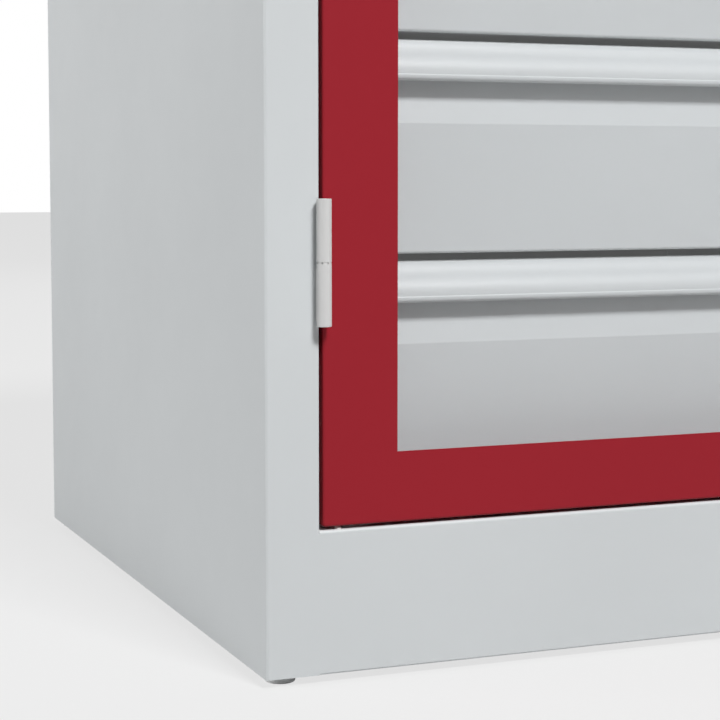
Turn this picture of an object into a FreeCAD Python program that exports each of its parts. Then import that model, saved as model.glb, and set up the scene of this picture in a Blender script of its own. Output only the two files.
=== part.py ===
import FreeCAD, Part
import math
import os

Vector = FreeCAD.Vector

# A steel tool cabinet with a hinged window door in front of drawers with rolled fronts.
# Every piece is drawn in the case's own frame: x from the outer left side, y back from the
# front plane, z up from the underside of the case. All sizes are in millimetres.

# Overall size
width = 700.0
depth = 600.0
overall_height = 1000.0

# Sheet metal and general clearances
sheet = 1.0
bend_radius = 1.0
tight_bend = 0.3
overrun = 2.0
running_gap = 0.05
press_gap = 0.02
screw_gap = 0.05
same_point = 1e-6

# Front frame round the door
flange_width = 35.5
plinth_height = 91.7
top_rail_height = 35.0
rebate_depth = 22.5
stop_lip = 10.0
rail_back_flange = 30.0

# Case
rear_flange = 20.0
bottom_flange = 30.0
rear_corner_radius = 1.4
top_edge_radius = 0.8
base_side_flange = 20.0

# Levelling feet
foot_height = 5.6
foot_inset_x = 15.2
foot_inset_y = 17.4
foot_radius = 9.6
foot_pad_height = 4.4
foot_pad_edge = 1.0
foot_neck_radius = 6.0
foot_spindle_radius = 4.0
foot_spindle_top = 32.0
foot_hole_gap = 0.5
foot_nut_width = 22.0
foot_nut_height = 12.0

# Door
door_side_gap = 2.3
door_bottom_gap = 2.2
door_top_gap = 2.3
door_thickness = 20.0
door_edge_bend = 0.6
door_back_flange = 10.0
door_corner_notch = 1.3
stile_width = 50.4
bottom_rail_width = 45.0
top_rail_width = 45.0

# Window pane with its clamping strips, studs and nuts
pane_thickness = 4.0
pane_overlap = 9.0
strip_margin = 1.5
strip_width = 7.0
strip_thickness = 1.5
stud_radius = 1.5
stud_tip = 1.0
stud_hole_gap = 0.2
stud_count_tall = 6
stud_count_wide = 4
nut_across_flats = 5.5
nut_thickness = 2.4

# Lift-off hinges
hinge_length = 78.8
hinge_radius = 4.7
hinge_stand = 5.5
hinge_seam_rise = 165.5
hinge_end_chamfer = 0.3
flute_count = 8
flute_start_share = 0.25
flute_radius = 0.5
flute_depth = 0.15
hinge_pin_radius = 3.0
hinge_pin_reach = 30.0
pin_end_gap = 0.5
washer_edge_gap = 0.1
washer_thickness = 1.2
washer_notch_width = 0.9
washer_notch_depth = 1.1
weld_width = 1.9
weld_depth = 2.5
weld_inset = 3.0
weld_seat = 0.3

# Glide pad under the door and rubber stops behind it
pad_inset = 11.5
pad_y = 4.5
pad_radius = 2.6
pad_rise = 1.9
buffer_radius = 4.0
buffer_gap = 0.2
buffer_end_inset = 120.0

# Turn handle, lock cylinder and lock behind the right stile
handle_inset = 22.1
rosette_radius = 17.0
rosette_thickness = 3.0
rosette_edge = 0.8
handle_gap = 0.3
handle_proud = 30.0
neck_radius = 8.0
neck_hole_gap = 0.5
boss_radius = 13.0
boss_edge = 1.2
wing_length = 54.0
wing_width = 13.0
wing_thickness = 15.0
spigot_width = 8.0
cylinder_radius = 6.0
cylinder_length = 20.0
cylinder_edge = 0.4
keyhole_height = 7.0
keyhole_width = 1.4
keyhole_depth = 12.0
cam_front = 4.0
cam_thickness = 2.5
cam_radius = 14.5
crank_pin_radius = 2.5
crank_pin_tip = 1.0
lock_case_half_width = 18.0
lock_case_height = 70.0
lock_case_depth = 17.5

# Locking rods
rod_travel = 15.0
rod_width = 14.0
rod_thickness = 3.0
rod_spacing = 18.0
rod_front = 8.5
rod_tip_inset = 0.5
rod_end_margin = 4.0
rod_pin_gap = 0.5
rod_slot_gap = 0.5
keeper_slot_gap = 1.0
guide_width = 19.0
guide_height = 14.0
guide_back_wall = 2.0
guide_bar_gap = 0.4
guide_place_shares = (0.32, 0.72)

# Drawers
drawer_left = 94.7
drawer_right_inset = 50.0
stack_rise = 21.5
stack_top_gap = 35.0
drawer_gap = 4.9
low_count = 3
low_pitch = 146.0
high_count = 3
front_flat_y = 57.0
front_back_y = 66.0
front_crease_drop = 55.3
front_fold_drop = 16.3
front_bend = 0.8

# Rolled grip along the top of each drawer front
grip_top_y = 62.5
grip_upper_y = 60.85
grip_upper_drop = 7.1
grip_upper_radius = 13.8
grip_lower_drop = 14.9
grip_lower_radius = 15.0
grip_lip_y = 49.2
grip_top_bend = 0.5
lip_step_drop = 23.1
lip_step = 0.5
lip_step_bend = 0.2
lip_bottom_drop = 27.4
lip_roll_width = 5.2
lip_return = 3.4
lip_bend = 1.5

# Drawer trays
tray_inset = 16.0
tray_length = 510.0
tray_top_drop = 6.0

# Telescopic runners
runner_thickness = 12.7
runner_length = 500.0
runner_height = 45.0
runner_start = 75.0
runner_rise = 42.0
outer_sheet = 1.2
middle_sheet = 2.0
inner_sheet = 1.2
runner_gap = 0.3
runner_web_gap = 0.4
runner_bend = 0.4
outer_lip = 9.5
middle_lip = 9.0
inner_lip = 8.6
wall_front_gap = 3.0
wall_back_overhang = 5.0
screw_shank_radius = 2.0
screw_head_radius = 3.6
screw_head_thickness = 2.0
screw_end_inset = 40.0

# Places worked out from the sizes above
case_height = overall_height - foot_height
body_top = case_height - sheet
rail_bottom = case_height - top_rail_height
door_left = flange_width + door_side_gap
door_right = width - door_left
door_bottom = plinth_height + door_bottom_gap
door_top = rail_bottom - door_top_gap
window_left = door_left + stile_width
window_right = door_right - stile_width
window_bottom = door_bottom + bottom_rail_width
window_top = door_top - top_rail_width
hinge_x = flange_width + door_side_gap / 2
hinge_y = -hinge_stand
hinge_seams = (door_bottom + hinge_seam_rise, door_top - hinge_seam_rise)
handle_x = door_right - handle_inset
handle_z = (door_bottom + door_top) / 2
crank_radius = rod_travel / math.sqrt(2)
rod_back = rod_front + rod_thickness
upper_rod_x = handle_x - rod_spacing / 2
lower_rod_x = handle_x + rod_spacing / 2
drawer_right = width - drawer_right_inset
tray_left = drawer_left + tray_inset
tray_right = drawer_right - tray_inset
tray_front = front_back_y + sheet
stack_bottom = door_bottom + stack_rise
stack_top = door_top - stack_top_gap
high_pitch = (stack_top + drawer_gap - stack_bottom - low_count * low_pitch) / high_count
wall_left_face = tray_left - runner_thickness
wall_right_face = tray_right + runner_thickness
wall_front = tray_front + wall_front_gap
wall_back = runner_start + runner_length + wall_back_overhang
front_edge = bend_radius + sheet
flange_flat = flange_width - front_edge
door_edge = door_edge_bend + sheet
strip_back = sheet + pane_thickness + strip_thickness
cam_back = cam_front + cam_thickness
pad_x = door_left + pad_inset
middle_half = runner_height / 2 - outer_sheet - runner_gap
inner_half = middle_half - middle_sheet - runner_gap
right_shift = wall_left_face + wall_right_face - width


def box(x0, x1, y0, y1, z0, z1):
    return Part.makeBox(x1 - x0, y1 - y0, z1 - z0, Vector(x0, y0, z0))


def cylinder_y(x, z, radius, y0, y1):
    return Part.makeCylinder(radius, y1 - y0, Vector(x, y0, z), Vector(0, 1, 0))


def cylinder_z(x, y, radius, z0, z1):
    return Part.makeCylinder(radius, z1 - z0, Vector(x, y, z0), Vector(0, 0, 1))


def cylinder_x(y, z, radius, x0, x1):
    return Part.makeCylinder(radius, x1 - x0, Vector(x0, y, z), Vector(1, 0, 0))


def mirrored(shape):
    """The same piece on the other side of the cabinet's middle plane."""
    return shape.mirror(Vector(width / 2, 0, 0), Vector(1, 0, 0))


def in_plane(plane, point, along):
    """Place a flat drawing point in space: plane is xy, yz or xz."""
    u, v = point
    if plane == "xy":
        return Vector(u, v, along)
    if plane == "yz":
        return Vector(along, u, v)
    return Vector(u, along, v)


def direction(a, b):
    length = math.dist(a, b)
    return ((b[0] - a[0]) / length, (b[1] - a[1]) / length)


def moved(point, way, distance):
    return (point[0] + way[0] * distance, point[1] + way[1] * distance)


def left_of(way):
    return (-way[1], way[0])


def bend_arcs(before, corner, after, inner_radius, thickness, side):
    """Tangent and middle points of one bend, on the drawn face and on the other face."""
    way_in = direction(before, corner)
    way_out = direction(corner, after)
    cross = way_in[0] * way_out[1] - way_in[1] * way_out[0]
    dot = way_in[0] * way_out[0] + way_in[1] * way_out[1]
    turn = math.atan2(cross, dot)
    hand = math.copysign(1, turn)
    sheet_inside = hand == side
    face_radius = inner_radius + thickness if sheet_inside else inner_radius
    back_radius = inner_radius if sheet_inside else inner_radius + thickness
    reach = face_radius * math.tan(abs(turn) / 2)
    face_in = moved(corner, way_in, -reach)
    face_out = moved(corner, way_out, reach)
    centre = moved(face_in, left_of(way_in), hand * face_radius)
    outward = direction(centre, corner)
    face = (face_in, moved(centre, outward, face_radius), face_out)
    back = (
        moved(face_in, left_of(way_in), side * thickness),
        moved(centre, outward, back_radius),
        moved(face_out, left_of(way_out), side * thickness),
    )
    return face, back


def edges_through(items, plane, along):
    """Lines and arcs through a list of plain points and (start, middle, end) arcs."""
    edges = []
    here = items[0]
    for item in items[1:]:
        is_arc = len(item) == 3
        start = item[0] if is_arc else item
        if math.dist(here, start) > same_point:
            edges.append(Part.makeLine(in_plane(plane, here, along), in_plane(plane, start, along)))
        here = start
        if is_arc:
            ends = [in_plane(plane, point, along) for point in item]
            edges.append(Part.Arc(*ends).toShape())
            here = item[2]
    return edges


def folded_sheet(plane, points, radii, thickness, side, start, end):
    """Sheet folded along a line of face points, with its thickness on one side of the line
    (1 left, -1 right) and one inside radius for each bend, reaching from start to end."""
    first_way = direction(points[0], points[1])
    last_way = direction(points[-2], points[-1])
    face = [points[0]]
    back = [moved(points[0], left_of(first_way), side * thickness)]
    for index, radius in enumerate(radii):
        before, corner, after = points[index:index + 3]
        face_arc, back_arc = bend_arcs(before, corner, after, radius, thickness, side)
        face.append(face_arc)
        back.append(back_arc)
    face.append(points[-1])
    back.append(moved(points[-1], left_of(last_way), side * thickness))
    backwards = [item[::-1] if len(item) == 3 else item for item in reversed(back)]
    outline = edges_through(face + backwards + [points[0]], plane, start)
    profile = Part.Face(Part.Wire(outline))
    return profile.extrude(in_plane(plane, (0, 0), end - start))


def plain_bends(points, radius=bend_radius):
    return [radius] * (len(points) - 2)


def rounded(solid, radius, chosen):
    """Round the edges for which chosen(edge) is true."""
    return solid.makeFillet(radius, [edge for edge in solid.Edges if chosen(edge)])


def drawer_places():
    """Number, bottom and top of each drawer front, from the lowest up."""
    places = []
    bottom = stack_bottom
    for index in range(low_count + high_count):
        pitch = low_pitch if index < low_count else high_pitch
        places.append((index + 1, bottom, bottom + pitch - drawer_gap))
        bottom += pitch
    return places


def runner_middle(bottom):
    return bottom + runner_rise


def screw_places():
    """Depth and height of each runner screw on one side of the cabinet."""
    first = runner_start + screw_end_inset
    last = runner_start + runner_length - screw_end_inset
    return [(y, runner_middle(bottom)) for _, bottom, _ in drawer_places() for y in (first, last)]


def foot_places():
    """Name and place of each levelling foot."""
    sides = {"left": foot_inset_x, "right": width - foot_inset_x}
    rows = {"front": foot_inset_y, "rear": depth - foot_inset_y}
    return {f"foot_{row}_{side}": (x, y) for row, y in rows.items() for side, x in sides.items()}


# The case


def left_side():
    """Side wall with its front flange, door rebate, stop lip and rear and bottom flanges."""
    line = [
        (flange_width + stop_lip, rebate_depth),
        (flange_width, rebate_depth),
        (flange_width, 0),
        (0, 0),
        (0, depth),
        (rear_flange, depth),
    ]
    radii = [bend_radius, tight_bend, bend_radius, bend_radius]
    wall = folded_sheet("xy", line, radii, sheet, -1, 0, body_top)
    foot_flange = box(sheet, bottom_flange, sheet, depth - 2 * sheet, 0, sheet)
    side = wall.fuse(foot_flange)
    rebate_back = rebate_depth + sheet + overrun
    lip_edge = flange_width + stop_lip + overrun
    cuts = [
        box(flange_flat, lip_edge, -overrun, rebate_back, -overrun, plinth_height - front_edge),
        box(flange_width, lip_edge, -overrun, rebate_back, -overrun, plinth_height),
        box(flange_flat, lip_edge, -overrun, rebate_back, rail_bottom + front_edge, case_height),
        box(flange_width, lip_edge, -overrun, rebate_back, rail_bottom, case_height),
    ]
    corner_y = depth - rear_corner_radius
    corner = box(-overrun, rear_flange + overrun, corner_y, depth + overrun, -overrun, rear_corner_radius)
    radius = rear_corner_radius
    round_edge = cylinder_x(corner_y, radius, radius, -overrun, rear_flange + overrun)
    cuts.append(corner.cut(round_edge))
    for x, y in foot_places().values():
        cuts.append(cylinder_z(x, y, foot_spindle_radius + foot_hole_gap, -overrun, sheet + overrun))
    return side.cut(cuts).removeSplitter()


def front_member(line, side, tab_bottom, tab_top):
    """Front sheet between the side flanges, with tabs in the place of the flanges' bends."""
    radii = [tight_bend, bend_radius]
    member = folded_sheet("yz", line, radii, sheet, side, flange_width, width - flange_width)
    tab = box(flange_flat, flange_width, 0, sheet, tab_bottom, tab_top)
    return member.multiFuse([tab, mirrored(tab)]).removeSplitter()


def keeper_slot(rod_x, z):
    """Slot that a locking rod enters, in the sheet under or over the door."""
    half = rod_width / 2 + keeper_slot_gap
    return box(rod_x - half, rod_x + half, rod_front - keeper_slot_gap, rod_back + keeper_slot_gap,
               z - overrun, z + overrun)


def plinth_front():
    line = [
        (rail_back_flange, 0),
        (0, 0),
        (0, plinth_height),
        (rebate_depth + sheet, plinth_height),
    ]
    plinth = front_member(line, -1, 0, plinth_height - front_edge)
    return plinth.cut(keeper_slot(lower_rod_x, plinth_height))


def top_rail():
    line = [
        (rail_back_flange, body_top),
        (0, body_top),
        (0, rail_bottom),
        (rebate_depth + sheet, rail_bottom),
    ]
    rail = front_member(line, 1, rail_bottom + front_edge, body_top)
    return rail.cut(keeper_slot(upper_rod_x, rail_bottom))


def top_panel():
    panel = box(0, width, 0, depth, body_top, case_height)
    panel = rounded(panel, front_edge, lambda edge: edge.BoundBox.ZLength > sheet / 2)
    return rounded(panel, top_edge_radius, lambda edge: edge.BoundBox.ZMin > case_height - sheet / 2)


def base_panel():
    line = [
        (sheet, plinth_height - base_side_flange),
        (sheet, plinth_height),
        (width - sheet, plinth_height),
        (width - sheet, plinth_height - base_side_flange),
    ]
    return folded_sheet("xz", line, plain_bends(line), sheet, -1, rebate_depth + sheet, depth - 2 * sheet)


def back_panel():
    edge = sheet + bend_radius
    return box(edge, width - edge, depth - 2 * sheet, depth - sheet, 0, body_top)


def runner_wall(face_x):
    """Channel between the left side and the drawers, with its face at face_x."""
    line = [(sheet, wall_front), (face_x, wall_front), (face_x, wall_back), (sheet, wall_back)]
    wall = folded_sheet("xy", line, plain_bends(line), sheet, 1, plinth_height, body_top)
    radius = screw_shank_radius + screw_gap
    holes = [cylinder_x(y, z, radius, face_x - sheet - overrun, face_x + overrun) for y, z in screw_places()]
    return wall.cut(holes)


def runner_screws():
    """Screws of the outer runner members, heads outside the channels."""
    screws = []
    for y, z in screw_places():
        head_start = wall_left_face - sheet - screw_head_thickness
        head = cylinder_x(y, z, screw_head_radius, head_start, wall_left_face - sheet)
        shank = cylinder_x(y, z, screw_shank_radius, wall_left_face - sheet, wall_left_face + outer_sheet)
        left_screw = head.fuse(shank)
        screws.append(left_screw)
        screws.append(mirrored(left_screw).translated(Vector(right_shift, 0, 0)))
    return screws


def foot(x, y):
    pad_top = foot_pad_height - foot_height
    pad = cylinder_z(x, y, foot_radius, -foot_height, pad_top)
    pad = rounded(pad, foot_pad_edge, lambda edge: edge.Closed)
    neck = cylinder_z(x, y, foot_neck_radius, pad_top, 0)
    spindle = cylinder_z(x, y, foot_spindle_radius, 0, foot_spindle_top)
    return pad.multiFuse([neck, spindle])


def foot_nut(x, y):
    half = foot_nut_width / 2
    block = box(x - half, x + half, y - half, y + half, sheet, sheet + foot_nut_height)
    bore = cylinder_z(x, y, foot_spindle_radius + running_gap, 0, foot_spindle_top)
    return block.cut(bore)


# Telescopic runners


def c_rail(web_x, reach, half_height, thickness, middle_z):
    """C-shaped runner member; its lips reach from the web by a signed distance."""
    line = [
        (web_x + reach, middle_z - half_height),
        (web_x, middle_z - half_height),
        (web_x, middle_z + half_height),
        (web_x + reach, middle_z + half_height),
    ]
    side = -1 if reach > 0 else 1
    end = runner_start + runner_length
    return folded_sheet("xz", line, plain_bends(line, runner_bend), thickness, side, runner_start, end)


def both_sides(left_piece):
    """A left runner member and its twin on the drawer's right side."""
    return [left_piece, mirrored(left_piece).translated(Vector(right_shift, 0, 0))]


def outer_runners():
    rails = []
    radius = screw_shank_radius + screw_gap
    first, last = wall_left_face - overrun, wall_left_face + outer_sheet + overrun
    holes = [cylinder_x(y, z, radius, first, last) for y, z in screw_places()]
    for _, bottom, _ in drawer_places():
        rail = c_rail(wall_left_face, outer_lip, runner_height / 2, outer_sheet, runner_middle(bottom))
        rails += both_sides(rail.cut(holes))
    return rails


def middle_runners(bottom):
    web_x = wall_left_face + outer_sheet + runner_web_gap
    return both_sides(c_rail(web_x, middle_lip, middle_half, middle_sheet, runner_middle(bottom)))


def drawer_runners(bottom):
    return both_sides(c_rail(tray_left, -inner_lip, inner_half, inner_sheet, runner_middle(bottom)))


# Drawers


def roll_front(bottom, top):
    """Drawer front folded from one sheet: flat, sloping recess, upright, and the rolled grip.
    The line follows the back of the flat, which turns over the top and becomes the grip's face."""
    line = [
        (tray_front, bottom + sheet),
        (front_flat_y + sheet, bottom + sheet),
        (front_flat_y + sheet, top - front_crease_drop),
        (tray_front, top - front_fold_drop),
        (tray_front, top),
        (grip_top_y, top),
        (grip_upper_y, top - grip_upper_drop),
        (grip_lip_y + lip_step, top - grip_lower_drop),
        (grip_lip_y + lip_step, top - lip_step_drop),
        (grip_lip_y, top - lip_step_drop - lip_step),
        (grip_lip_y, top - lip_bottom_drop),
        (grip_lip_y + lip_roll_width, top - lip_bottom_drop),
        (grip_lip_y + lip_roll_width, top - lip_bottom_drop + lip_return),
    ]
    radii = [
        front_bend,
        front_bend,
        front_bend,
        front_bend,
        grip_top_bend,
        grip_upper_radius,
        grip_lower_radius - sheet,
        lip_step_bend,
        lip_step_bend,
        lip_bend,
        lip_bend,
    ]
    return folded_sheet("yz", line, radii, sheet, 1, drawer_left, drawer_right)


def drawer_box(bottom, top):
    back = tray_front + tray_length
    rim = top - tray_top_drop
    outer = box(tray_left, tray_right, tray_front, back, bottom, rim)
    hollow = box(tray_left + sheet, tray_right - sheet, tray_front + sheet, back - sheet,
                 bottom + sheet, rim + overrun)
    return outer.cut(hollow)


# The door


def in_front(edge):
    return edge.BoundBox.YMax < sheet / 2


def door_frame():
    """Folded pan with returns all round, the window cut out of its face."""
    pan = box(door_left, door_right, 0, door_thickness, door_bottom, door_top)
    pan = rounded(pan, door_edge, in_front)
    hollow = box(door_left + sheet, door_right - sheet, sheet, door_thickness - sheet,
                 door_bottom + sheet, door_top - sheet)
    hollow = rounded(hollow, door_edge_bend, lambda edge: edge.BoundBox.YMax < sheet + sheet / 2)
    flange = door_back_flange
    back_opening = box(door_left + flange, door_right - flange, door_thickness - sheet - overrun,
                       door_thickness + overrun, door_bottom + flange, door_top - flange)
    window = box(window_left, window_right, -overrun, sheet + overrun, window_bottom, window_top)
    neck_hole = cylinder_y(handle_x, handle_z, neck_radius + neck_hole_gap, -overrun, sheet + overrun)
    cuts = [hollow, back_opening, window, neck_hole]
    notch = door_corner_notch
    for x in (door_left, door_right):
        for z in (door_bottom, door_top):
            cuts.append(box(x - notch, x + notch, -overrun, door_thickness + overrun, z - notch, z + notch))
    half = rod_width / 2 + rod_slot_gap
    for x, z in ((upper_rod_x, door_top), (lower_rod_x, door_bottom)):
        cuts.append(box(x - half, x + half, rod_front - rod_slot_gap, rod_back + rod_slot_gap,
                        z - sheet - overrun / 2, z + sheet + overrun / 2))
    return pan.cut(cuts)


def stud_places():
    """Place of each pane stud, along the middle of the clamping strips."""
    inset = strip_margin + strip_width / 2
    window_height = window_top - window_bottom
    window_width = window_right - window_left
    places = []
    for step in range(stud_count_tall):
        z = window_bottom + window_height * (step + 1) / (stud_count_tall + 1)
        places += [(window_left - inset, z), (window_right + inset, z)]
    for step in range(stud_count_wide):
        x = window_left + window_width * (step + 1) / (stud_count_wide + 1)
        places += [(x, window_bottom - inset), (x, window_top + inset)]
    return places


def stud_holes():
    radius = stud_radius + stud_hole_gap
    return [cylinder_y(x, z, radius, 0, strip_back + overrun) for x, z in stud_places()]


def window_pane():
    pane = box(window_left - pane_overlap, window_right + pane_overlap, sheet, sheet + pane_thickness,
               window_bottom - pane_overlap, window_top + pane_overlap)
    return pane.cut(stud_holes())


def pane_strips():
    """Four flat strips that clamp the pane, short of the window's edge."""
    front = sheet + pane_thickness
    inner_left, inner_right = window_left - strip_margin, window_right + strip_margin
    inner_bottom, inner_top = window_bottom - strip_margin, window_top + strip_margin
    outer_bottom, outer_top = inner_bottom - strip_width, inner_top + strip_width
    holes = stud_holes()
    strips = [
        box(inner_left - strip_width, inner_left, front, strip_back, outer_bottom, outer_top),
        box(inner_right, inner_right + strip_width, front, strip_back, outer_bottom, outer_top),
        box(inner_left, inner_right, front, strip_back, outer_bottom, inner_bottom),
        box(inner_left, inner_right, front, strip_back, inner_top, outer_top),
    ]
    return [strip.cut(holes) for strip in strips]


def hexagon_y(x, z, across_flats, y0, y1):
    radius = across_flats / math.sqrt(3)
    angles = [math.radians(turn) for turn in range(0, 420, 60)]
    corners = [Vector(x + radius * math.cos(angle), y0, z + radius * math.sin(angle)) for angle in angles]
    return Part.Face(Part.makePolygon(corners)).extrude(Vector(0, y1 - y0, 0))


def pane_nuts():
    """Weld studs behind the door's face, each with its nut."""
    nut_back = strip_back + nut_thickness
    nuts = []
    for x, z in stud_places():
        stud = cylinder_y(x, z, stud_radius, sheet, nut_back + stud_tip)
        nuts.append(stud.fuse(hexagon_y(x, z, nut_across_flats, strip_back, nut_back)))
    return nuts


# Hinges, the same pair on the frame and on the door


def flute_angles():
    """Plan angles of the barrel's lengthwise flutes, in radians from the x direction."""
    return [math.tau * (flute_start_share + index) / flute_count for index in range(flute_count)]


def barrel(seam_end, outer_end):
    """One half of the hinge's barrel, chamfered at its outer end, with shallow lengthwise flutes."""
    bottom, top = min(seam_end, outer_end), max(seam_end, outer_end)
    solid = cylinder_z(hinge_x, hinge_y, hinge_radius, bottom, top)
    ends = [edge for edge in solid.Edges if edge.Closed and abs(edge.BoundBox.ZMin - outer_end) < same_point]
    solid = solid.makeChamfer(hinge_end_chamfer, ends)
    reach = hinge_radius + flute_radius - flute_depth
    flutes = []
    for angle in flute_angles():
        x, y = hinge_x + reach * math.cos(angle), hinge_y + reach * math.sin(angle)
        flutes.append(cylinder_z(x, y, flute_radius, bottom - overrun, top + overrun))
    return solid.cut(flutes)


def weld(left, bottom, top):
    """Weld that joins a knuckle to the sheet behind it."""
    return box(left, left + weld_width, -weld_depth, 0, bottom + weld_inset, top - weld_inset)


def lower_knuckle(seam):
    bottom, top = seam - hinge_length / 2, seam - washer_thickness / 2
    bore = cylinder_z(hinge_x, hinge_y, hinge_pin_radius + press_gap, seam - hinge_pin_reach, top + overrun)
    return barrel(top, bottom).fuse(weld(flange_flat - weld_seat, bottom, top)).cut(bore)


def upper_knuckle(seam):
    bottom, top = seam + washer_thickness / 2, seam + hinge_length / 2
    bore_top = seam + hinge_pin_reach + pin_end_gap
    bore = cylinder_z(hinge_x, hinge_y, hinge_pin_radius + running_gap, bottom - overrun, bore_top)
    door_flat = door_left + door_edge
    return barrel(bottom, top).fuse(weld(door_flat + weld_seat - weld_width, bottom, top)).cut(bore)


def hinge_pin(seam):
    return cylinder_z(hinge_x, hinge_y, hinge_pin_radius, seam - hinge_pin_reach, seam + hinge_pin_reach)


def hinge_washer(seam):
    """Ring between the two halves of the barrel, with a notch at each flute."""
    half = washer_thickness / 2
    rim = hinge_x + hinge_radius - washer_edge_gap
    ring = cylinder_z(hinge_x, hinge_y, hinge_radius - washer_edge_gap, seam - half, seam + half)
    cuts = [cylinder_z(hinge_x, hinge_y, hinge_pin_radius + running_gap, seam - overrun, seam + overrun)]
    notch_half = washer_notch_width / 2
    for angle in flute_angles():
        notch = box(rim - washer_notch_depth, rim + overrun, hinge_y - notch_half, hinge_y + notch_half,
                    seam - overrun, seam + overrun)
        notch.rotate(Vector(hinge_x, hinge_y, seam), Vector(0, 0, 1), math.degrees(angle))
        cuts.append(notch)
    return ring.cut(cuts)


def door_glide_pad():
    """Small dome on the plinth, just under the door's hinge side corner."""
    ball_radius = (pad_radius ** 2 + pad_rise ** 2) / (2 * pad_rise)
    ball_z = plinth_height + pad_rise - ball_radius
    ball = Part.makeSphere(ball_radius, Vector(pad_x, pad_y, ball_z))
    above = box(pad_x - ball_radius, pad_x + ball_radius, pad_y - ball_radius, pad_y + ball_radius,
                plinth_height, plinth_height + ball_radius)
    return ball.common(above)


def door_buffers():
    x = width - flange_width - stop_lip + buffer_radius
    front = door_thickness + buffer_gap
    heights = (door_bottom + buffer_end_inset, door_top - buffer_end_inset)
    return [cylinder_y(x, z, buffer_radius, front, rebate_depth) for z in heights]


# Handle, lock and rods


def handle_rosette():
    plate = cylinder_y(handle_x, handle_z, rosette_radius, -rosette_thickness, 0)
    plate = rounded(plate, rosette_edge, lambda edge: edge.Closed and edge.BoundBox.YMax < -rosette_edge)
    neck_hole_radius = neck_radius + running_gap
    return plate.cut(cylinder_y(handle_x, handle_z, neck_hole_radius, -rosette_thickness - overrun, overrun))


def turn_handle():
    """Round boss with a wing grip, a neck through the door and a square spigot for the cam."""
    front = -handle_proud
    boss_back = -rosette_thickness - handle_gap
    boss = cylinder_y(handle_x, handle_z, boss_radius, front, boss_back)
    half_span = (wing_length - wing_width) / 2
    wing_back = front + wing_thickness
    wing = box(handle_x - half_span, handle_x + half_span, front, wing_back,
               handle_z - wing_width / 2, handle_z + wing_width / 2)
    tip_places = (handle_x - half_span, handle_x + half_span)
    tips = [cylinder_y(x, handle_z, wing_width / 2, front, wing_back) for x in tip_places]
    grip = boss.multiFuse([wing] + tips).removeSplitter()
    grip = rounded(grip, boss_edge, lambda edge: edge.BoundBox.YMax < front + boss_edge / 2)
    neck = cylinder_y(handle_x, handle_z, neck_radius, boss_back, cam_front)
    half = spigot_width / 2
    spigot = box(handle_x - half, handle_x + half, cam_front, cam_back, handle_z - half, handle_z + half)
    bore_radius = cylinder_radius + running_gap
    bore = cylinder_y(handle_x, handle_z, bore_radius, front - overrun, front + cylinder_length)
    return grip.multiFuse([neck, spigot]).cut(bore)


def lock_cylinder():
    front = -handle_proud
    plug = cylinder_y(handle_x, handle_z, cylinder_radius, front, front + cylinder_length)
    edge_back = front + cylinder_edge
    plug = rounded(plug, cylinder_edge, lambda edge: edge.Closed and edge.BoundBox.YMax < edge_back)
    half_width, half_height = keyhole_width / 2, keyhole_height / 2
    keyhole = box(handle_x - half_width, handle_x + half_width, front - overrun, front + keyhole_depth,
                  handle_z - half_height, handle_z + half_height)
    return plug.cut(keyhole)


def lock_cam():
    """Disc with two crank pins that drive the rods."""
    disc = cylinder_y(handle_x, handle_z, cam_radius, cam_front, cam_back)
    half = spigot_width / 2 + press_gap
    square = box(handle_x - half, handle_x + half, cam_front - overrun, cam_back + overrun,
                 handle_z - half, handle_z + half)
    offset = rod_travel / 2
    pins = [cylinder_y(handle_x + way * offset, handle_z + way * offset, crank_pin_radius, cam_back,
                       rod_back + crank_pin_tip) for way in (-1, 1)]
    return disc.cut(square).multiFuse(pins)


def lock_case():
    left, right = handle_x - lock_case_half_width, handle_x + lock_case_half_width
    line = [(left, sheet), (left, lock_case_depth), (right, lock_case_depth), (right, sheet)]
    half = lock_case_height / 2
    return folded_sheet("xy", line, plain_bends(line), sheet, -1, handle_z - half, handle_z + half)


def locking_rod(rod_x, way):
    """Flat bar with a slot for its crank pin; way is 1 for the upper rod, -1 for the lower."""
    pin_z = handle_z - way * rod_travel / 2
    pin_room = crank_pin_radius + rod_pin_gap
    inner_end = pin_z - way * (pin_room + rod_end_margin)
    outer_end = door_top - rod_tip_inset if way > 0 else door_bottom + rod_tip_inset
    half = rod_width / 2
    bottom, top = min(inner_end, outer_end), max(inner_end, outer_end)
    bar = box(rod_x - half, rod_x + half, rod_front, rod_back, bottom, top)
    near, far = rod_travel / 2 - pin_room, crank_radius + pin_room
    left, right = sorted((handle_x - way * near, handle_x - way * far))
    slot = box(left, right, rod_front - overrun, rod_back + overrun, pin_z - pin_room, pin_z + pin_room)
    return bar.cut(slot)


def rod_guides():
    """Plastic blocks on the door's inner face, two for each rod."""
    half, back = guide_width / 2, rod_back + guide_back_wall
    bar_half = rod_width / 2 + guide_bar_gap
    case_half = lock_case_height / 2
    runs = ((upper_rod_x, handle_z + case_half, door_top), (lower_rod_x, handle_z - case_half, door_bottom))
    guides = []
    for x, near_end, far_end in runs:
        for share in guide_place_shares:
            z = near_end + (far_end - near_end) * share
            bottom, top = z - guide_height / 2, z + guide_height / 2
            block = box(x - half, x + half, sheet, back, bottom, top)
            passage = box(x - bar_half, x + bar_half, rod_front - guide_bar_gap, rod_back + guide_bar_gap,
                          bottom - overrun, top + overrun)
            guides.append(block.cut(passage))
    return guides


def save(name, pieces):
    """Write one node, moved so that the origin lies on the floor under the middle of the box."""
    shape = Part.makeCompound(pieces) if isinstance(pieces, list) else pieces
    shape = shape.translated(Vector(-width / 2, -(depth - handle_proud) / 2, foot_height))
    shape.exportStep(f"parts/{name}.step")


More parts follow.
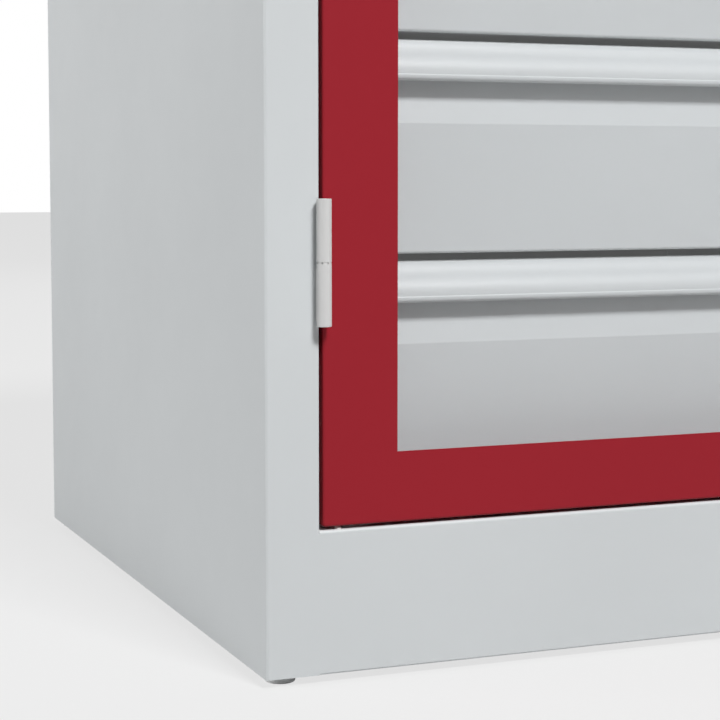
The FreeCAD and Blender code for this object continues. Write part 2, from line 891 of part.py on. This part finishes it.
def save_case():
    save("left_side", left_side())
    save("right_side", mirrored(left_side()))
    save("plinth_front", plinth_front())
    save("top_rail", top_rail())
    save("top_panel", top_panel())
    save("base_panel", base_panel())
    save("back_panel", back_panel())
    save("left_runner_wall", runner_wall(wall_left_face))
    save("right_runner_wall", mirrored(runner_wall(width - wall_right_face)))
    save("cabinet_runners", outer_runners())
    save("runner_screws", runner_screws())
    save("foot_nuts", [foot_nut(x, y) for x, y in foot_places().values()])
    save("hinge_lower_knuckles", [lower_knuckle(seam) for seam in hinge_seams])
    save("hinge_pins", [hinge_pin(seam) for seam in hinge_seams])
    save("hinge_washers", [hinge_washer(seam) for seam in hinge_seams])
    save("door_glide_pad", door_glide_pad())
    save("door_buffers", door_buffers())
    for name, (x, y) in foot_places().items():
        save(name, foot(x, y))


def save_door():
    save("door_frame", door_frame())
    save("window_pane", window_pane())
    save("pane_strips", pane_strips())
    save("pane_nuts", pane_nuts())
    save("hinge_upper_knuckles", [upper_knuckle(seam) for seam in hinge_seams])
    save("handle_rosette", handle_rosette())
    save("turn_handle", turn_handle())
    save("lock_cylinder", lock_cylinder())
    save("lock_cam", lock_cam())
    save("lock_case", lock_case())
    save("upper_rod", locking_rod(upper_rod_x, 1))
    save("lower_rod", locking_rod(lower_rod_x, -1))
    save("rod_guides", rod_guides())


def save_drawers():
    for number, bottom, top in drawer_places():
        save(f"roll_front_{number}", roll_front(bottom, top))
        save(f"drawer_box_{number}", drawer_box(bottom, top))
        save(f"drawer_runners_{number}", drawer_runners(bottom))
        save(f"middle_runners_{number}", middle_runners(bottom))


os.makedirs("parts", exist_ok=True)
save_case()
save_door()
save_drawers()
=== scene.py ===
import math

import bmesh
import bpy
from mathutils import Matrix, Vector

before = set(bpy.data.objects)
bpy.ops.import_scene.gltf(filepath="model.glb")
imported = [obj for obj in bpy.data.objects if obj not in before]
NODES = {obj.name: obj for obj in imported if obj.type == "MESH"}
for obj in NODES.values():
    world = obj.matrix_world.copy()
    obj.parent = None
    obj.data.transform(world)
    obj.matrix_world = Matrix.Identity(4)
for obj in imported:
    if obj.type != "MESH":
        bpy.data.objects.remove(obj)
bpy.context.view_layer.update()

DRAWERS = range(1, 7)

# Colours as linear values
CASE_GREY = (0.689, 0.717, 0.728)
# The drawers' grey is the case's light grey paint painted about 12% darker: painted shade on the drawers
# recessed behind the door.
DRAWER_GREY_PAINTED_SHADE = (0.606, 0.632, 0.646)
RED = (0.334, 0.0145, 0.0250)
HINGE_GREY = (0.700, 0.700, 0.695)
ZINC = (0.560, 0.570, 0.590)
BRIGHT_STEEL = (0.720, 0.720, 0.730)
WHITE_PLASTIC = (0.760, 0.760, 0.740)
BLACK_PLASTIC = (0.016, 0.016, 0.018)
RUBBER = (0.020, 0.020, 0.020)
FOOT_WHITE = (0.820, 0.825, 0.825)
PANE_TINT = (0.960, 0.980, 0.980)
FLOOR_GREY = (0.450, 0.450, 0.450)
WHITE = (1, 1, 1, 1)

# Usual range of a noise texture's values
NOISE_LOW = 0.3
NOISE_HIGH = 0.7

# Floor and world
FLOOR_SIZE = 30.0
FLOOR_WHITE_SHARE = 0.72
WORLD_WHITE_SHARE = 1.0
HORIZON_LIGHT = 0.0
DOME_LIGHT = 0.13
DOME_RISE = 0.8

# Point that every lamp looks at
LIGHT_AIM = Vector((-0.10, -0.25, 0.25))

# Camera, in metres, degrees and millimetres
CAMERA_PLACE = (-0.71689, -1.35547, 0.31804)
CAMERA_YAW = 21.8631
CAMERA_PITCH = 4.5547
CAMERA_SHIFT = -0.05
SENSOR_WIDTH = 36.0
LENS = 92.71


class Nodes:
    """A small builder for one material's node tree."""

    def __init__(self, name):
        self.material = bpy.data.materials.new(name)
        self.material.use_nodes = True
        self.tree = self.material.node_tree
        self.shader = self.tree.nodes["Principled BSDF"]
        self.place = self.tree.nodes.new("ShaderNodeTexCoord").outputs["Object"]

    def link(self, source, target):
        self.tree.links.new(source, target)

    def feed(self, source, socket):
        """Link a texture to one socket of the shader."""
        self.link(source, self.shader.inputs[socket])

    def noise(self, scale, detail=2.0, stretch=(1, 1, 1)):
        node = self.tree.nodes.new("ShaderNodeTexNoise")
        node.inputs["Scale"].default_value = scale
        node.inputs["Detail"].default_value = detail
        mapping = self.tree.nodes.new("ShaderNodeMapping")
        mapping.inputs["Scale"].default_value = stretch
        self.link(self.place, mapping.inputs["Vector"])
        self.link(mapping.outputs["Vector"], node.inputs["Vector"])
        return node.outputs["Fac"]

    def cells(self, scale):
        node = self.tree.nodes.new("ShaderNodeTexVoronoi")
        node.inputs["Scale"].default_value = scale
        self.link(self.place, node.inputs["Vector"])
        return node.outputs["Color"]

    def spread(self, value, middle, reach):
        """Map a noise value's usual range onto middle - reach to middle + reach."""
        node = self.tree.nodes.new("ShaderNodeMapRange")
        node.inputs["From Min"].default_value = NOISE_LOW
        node.inputs["From Max"].default_value = NOISE_HIGH
        node.inputs["To Min"].default_value = middle - reach
        node.inputs["To Max"].default_value = middle + reach
        self.link(value, node.inputs["Value"])
        return node.outputs["Result"]

    def tinted(self, value, colour, dark, light):
        """Colour that runs from the dark to the light share of the given one."""
        node = self.tree.nodes.new("ShaderNodeValToRGB")
        low, high = node.color_ramp.elements
        low.position = NOISE_LOW
        high.position = NOISE_HIGH
        low.color = (*[c * dark for c in colour], 1)
        high.color = (*[min(c * light, 1) for c in colour], 1)
        self.link(value, node.inputs["Fac"])
        return node.outputs["Color"]

    def bump(self, height, strength, distance, below=None):
        node = self.tree.nodes.new("ShaderNodeBump")
        node.inputs["Strength"].default_value = strength
        node.inputs["Distance"].default_value = distance
        self.link(height, node.inputs["Height"])
        if below:
            self.link(below, node.inputs["Normal"])
        return node.outputs["Normal"]

    def set(self, **values):
        for key, value in values.items():
            self.shader.inputs[key.replace("_", " ")].default_value = value


def powder_coat(name, colour, roughness=0.42, specular=0.4):
    """Satin powder coat: faint orange peel, a fine grain and a very slight drift in tone."""
    n = Nodes(name)
    n.feed(n.tinted(n.noise(6.0), colour, dark=0.985, light=1.015), "Base Color")
    n.feed(n.spread(n.noise(45.0), roughness, reach=0.03), "Roughness")
    peel = n.bump(n.noise(420.0, detail=1.0), strength=0.035, distance=0.0004)
    grain = n.bump(n.noise(2600.0, detail=1.0), strength=0.05, distance=0.00004, below=peel)
    n.feed(grain, "Normal")
    n.set(Specular_IOR_Level=specular)
    return n.material


def zinc_plate(name, colour):
    """Zinc plated steel: faint spangle, drawn lines and a patchy sheen."""
    n = Nodes(name)
    n.feed(n.tinted(n.cells(140.0), colour, dark=0.86, light=1.08), "Base Color")
    n.feed(n.spread(n.noise(60.0, detail=3.0), 0.36, reach=0.07), "Roughness")
    drawn = n.noise(300.0, stretch=(6, 0.2, 6))
    n.feed(n.bump(drawn, strength=0.06, distance=0.0001), "Normal")
    n.set(Metallic=1.0)
    return n.material


def polished(name, colour):
    """Bright turned steel with fine lines and a slight change in gloss."""
    n = Nodes(name)
    n.feed(n.tinted(n.noise(25.0), colour, dark=0.95, light=1.04), "Base Color")
    n.feed(n.spread(n.noise(120.0, detail=3.0), 0.18, reach=0.04), "Roughness")
    turned = n.noise(900.0, stretch=(1, 1, 0.1))
    n.feed(n.bump(turned, strength=0.03, distance=0.00005), "Normal")
    n.set(Metallic=1.0)
    return n.material


def moulded(name, colour, roughness=0.5, grain=0.10, specular=0.45):
    """Moulded plastic or rubber with a fine spark-eroded grain."""
    n = Nodes(name)
    n.feed(n.tinted(n.noise(30.0), colour, dark=0.92, light=1.08), "Base Color")
    n.feed(n.spread(n.noise(80.0, detail=3.0), roughness, reach=0.05), "Roughness")
    n.feed(n.bump(n.noise(1800.0), strength=grain, distance=0.0001), "Normal")
    n.set(Specular_IOR_Level=specular)
    return n.material


def clear_sheet(name, tint):
    """Clear acrylic: what lies behind shows through, with only a faint sheen of its own."""
    n = Nodes(name)
    n.feed(n.tinted(n.noise(2.0), tint, dark=0.99, light=1.0), "Base Color")
    n.feed(n.spread(n.noise(3.0), 0.04, reach=0.01), "Roughness")
    n.set(Alpha=0.05, Specular_IOR_Level=0.5)
    return n.material


def finish_nodes():
    """Give every CAD node its material."""
    grey = powder_coat("light grey powder coat", CASE_GREY)
    # Drawers: the case's light grey painted about 12% darker, as painted shade.
    drawer_grey_painted_shade = powder_coat("light grey powder coat with painted shade for drawers", DRAWER_GREY_PAINTED_SHADE, specular=0.6)
    red = powder_coat("red powder coat", RED, roughness=0.45, specular=0.18)
    hinge = powder_coat("hinge paint", HINGE_GREY, roughness=0.40)
    zinc = zinc_plate("zinc plate", ZINC)
    bright = polished("bright steel", BRIGHT_STEEL)
    white = moulded("white nylon", WHITE_PLASTIC, roughness=0.4, grain=0.04)
    black = moulded("black nylon", BLACK_PLASTIC, roughness=0.42)
    rubber = moulded("black rubber", RUBBER, roughness=0.8, specular=0.2)
    foot = moulded("foot plastic", FOOT_WHITE, grain=0.05)
    pane = clear_sheet("clear acrylic", PANE_TINT)

    finishes = {
        grey: ["left_side", "right_side", "plinth_front", "top_rail", "top_panel", "base_panel", "back_panel",
               "left_runner_wall", "right_runner_wall"],
        drawer_grey_painted_shade: [f"{kind}_{n}" for n in DRAWERS for kind in ("roll_front", "drawer_box")],
        red: ["door_frame"],
        hinge: ["hinge_lower_knuckles", "hinge_washers", "hinge_upper_knuckles"],
        zinc: ["cabinet_runners", "runner_screws", "pane_strips", "pane_nuts", "lock_cam", "lock_case",
               "upper_rod", "lower_rod"]
              + [f"{kind}_{n}" for n in DRAWERS for kind in ("drawer_runners", "middle_runners")],
        bright: ["hinge_pins", "lock_cylinder"],
        white: ["door_glide_pad"],
        black: ["handle_rosette", "turn_handle", "rod_guides", "foot_nuts"],
        rubber: ["door_buffers"],
        foot: [f"foot_{row}_{side}" for row in ("front", "rear") for side in ("left", "right")],
        pane: ["window_pane"],
    }
    for material, names in finishes.items():
        for name in names:
            mesh = NODES[name].data
            mesh.materials.clear()
            mesh.materials.append(material)


def show_white(tree, lit, white, share):
    """Mix plain white into what camera, mirrored and refracted rays see; the rays that light see none."""
    path = tree.nodes.new("ShaderNodeLightPath")
    seen = path.outputs["Is Camera Ray"]
    for kind in ("Is Glossy Ray", "Is Transmission Ray"):
        either = tree.nodes.new("ShaderNodeMath")
        either.operation = "MAXIMUM"
        tree.links.new(seen, either.inputs[0])
        tree.links.new(path.outputs[kind], either.inputs[1])
        seen = either.outputs["Value"]
    portion = tree.nodes.new("ShaderNodeMath")
    portion.operation = "MULTIPLY"
    portion.inputs[1].default_value = share
    mix = tree.nodes.new("ShaderNodeMixShader")
    tree.links.new(seen, portion.inputs[0])
    tree.links.new(portion.outputs["Value"], mix.inputs["Fac"])
    tree.links.new(lit, mix.inputs[1])
    tree.links.new(white, mix.inputs[2])
    return mix.outputs["Shader"]


def make_floor():
    """A pale floor that looks nearly white and still takes the object's shadow."""
    mesh = bpy.data.meshes.new("floor")
    build = bmesh.new()
    bmesh.ops.create_grid(build, x_segments=1, y_segments=1, size=FLOOR_SIZE / 2)
    build.to_mesh(mesh)
    build.free()
    floor = bpy.data.objects.new("floor", mesh)
    bpy.context.scene.collection.objects.link(floor)
    n = Nodes("pale floor")
    n.feed(n.tinted(n.noise(1.5), FLOOR_GREY, dark=0.995, light=1.0), "Base Color")
    n.set(Roughness=0.9, Specular_IOR_Level=0.0)
    white = n.tree.nodes.new("ShaderNodeEmission")
    white.inputs["Strength"].default_value = 1.0
    shown = show_white(n.tree, n.shader.outputs["BSDF"], white.outputs["Emission"], FLOOR_WHITE_SHARE)
    n.link(shown, n.tree.nodes["Material Output"].inputs["Surface"])
    mesh.materials.append(n.material)


def soft_box(name, azimuth, elevation, distance, size, power):
    """A square-on area lamp; azimuth runs from straight ahead of the door (0) round to the right (90)."""
    turn = math.radians(azimuth)
    rise = math.radians(elevation)
    towards = Vector((math.sin(turn) * math.cos(rise), -math.cos(turn) * math.cos(rise), math.sin(rise)))
    data = bpy.data.lights.new(name, "AREA")
    data.shape = "RECTANGLE"
    data.size = size[0]
    data.size_y = size[1]
    data.energy = power
    lamp = bpy.data.objects.new(name, data)
    lamp.location = LIGHT_AIM + distance * towards
    lamp.rotation_euler = (-towards).to_track_quat("-Z", "Y").to_euler()
    bpy.context.scene.collection.objects.link(lamp)


def make_world():
    """Soft studio dome; the camera, and clear or shiny surfaces, see plain white."""
    world = bpy.data.worlds.new("studio")
    world.use_nodes = True
    tree = world.node_tree
    soft = tree.nodes["Background"]
    soft.inputs["Color"].default_value = WHITE
    white = tree.nodes.new("ShaderNodeBackground")
    white.inputs["Color"].default_value = WHITE
    white.inputs["Strength"].default_value = 1.0
    place = tree.nodes.new("ShaderNodeTexCoord")
    split = tree.nodes.new("ShaderNodeSeparateXYZ")
    strength = tree.nodes.new("ShaderNodeMapRange")
    strength.inputs["From Min"].default_value = 0.0
    strength.inputs["From Max"].default_value = DOME_RISE
    strength.inputs["To Min"].default_value = HORIZON_LIGHT
    strength.inputs["To Max"].default_value = DOME_LIGHT
    tree.links.new(place.outputs["Generated"], split.inputs["Vector"])
    tree.links.new(split.outputs["Z"], strength.inputs["Value"])
    tree.links.new(strength.outputs["Result"], soft.inputs["Strength"])
    shown = show_white(tree, soft.outputs["Background"], white.outputs["Background"], WORLD_WHITE_SHARE)
    tree.links.new(shown, tree.nodes["World Output"].inputs["Surface"])
    bpy.context.scene.world = world
    bpy.context.scene.view_settings.view_transform = "Standard"


def make_camera():
    """The photograph's close view from the front left, a little above the floor."""
    yaw = math.radians(CAMERA_YAW)
    pitch = math.radians(CAMERA_PITCH)
    ahead = Vector((math.sin(yaw) * math.cos(pitch), math.cos(yaw) * math.cos(pitch), -math.sin(pitch)))
    data = bpy.data.cameras.new("camera")
    data.sensor_width = SENSOR_WIDTH
    data.lens = LENS
    data.shift_y = CAMERA_SHIFT
    camera = bpy.data.objects.new("camera", data)
    camera.location = CAMERA_PLACE
    camera.rotation_mode = "QUATERNION"
    camera.rotation_quaternion = ahead.to_track_quat("-Z", "Y")
    bpy.context.scene.collection.objects.link(camera)
    bpy.context.scene.camera = camera


finish_nodes()
make_floor()
make_world()
soft_box("key", azimuth=8, elevation=50, distance=6.5, size=(1.6, 1.2), power=405)
soft_box("left", azimuth=-105, elevation=12, distance=4.5, size=(2.0, 2.0), power=84)
soft_box("rear right", azimuth=140, elevation=6, distance=5.0, size=(2.5, 2.5), power=100)
make_camera()
